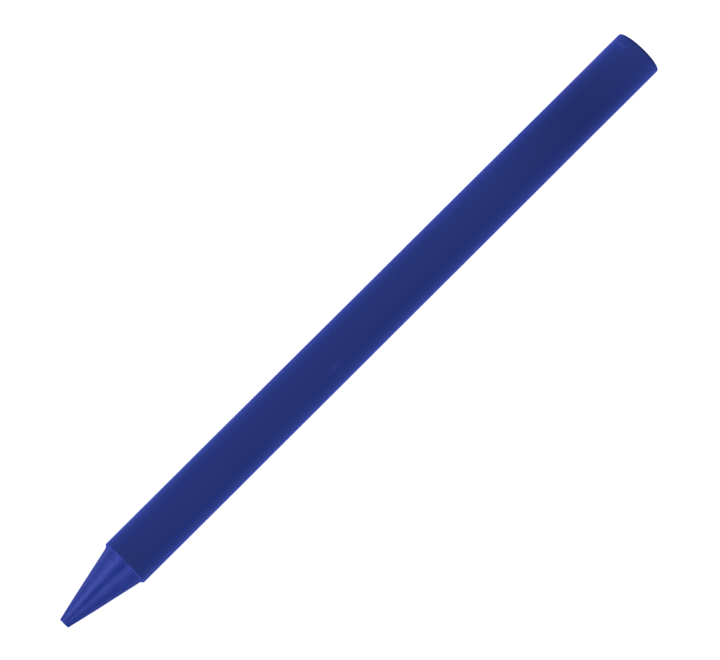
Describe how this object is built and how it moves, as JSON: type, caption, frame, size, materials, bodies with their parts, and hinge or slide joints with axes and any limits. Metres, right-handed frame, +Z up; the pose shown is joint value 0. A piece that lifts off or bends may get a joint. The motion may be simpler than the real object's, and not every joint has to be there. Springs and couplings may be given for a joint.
{
  "type": "plastic crayon",
  "caption": "Round plastic crayon: a solid pigment core with a blunt writing cone, in a thin smooth outer skin with a bevelled lip behind the cone.",
  "frame": {"origin": "underside of the barrel at mid-length, with the crayon lying on its side", "axes": "X along the crayon, writing tip towards -X and rear end towards +X; +Z up from the surface it lies on; Y across it"},
  "size_m": [0.1196, 0.0078, 0.0079],
  "materials": {
    "pigment_core": "waxy ultramarine compound, finely streaked lengthwise where it was turned to a cone",
    "barrel_skin": "smooth dark ultramarine plastic with a soft satin gloss and light handling scuffs"
  },
  "bodies": {
    "root": {"core": "pigment_core", "barrel_sleeve": "barrel_skin"}
  },
  "joints": []
}
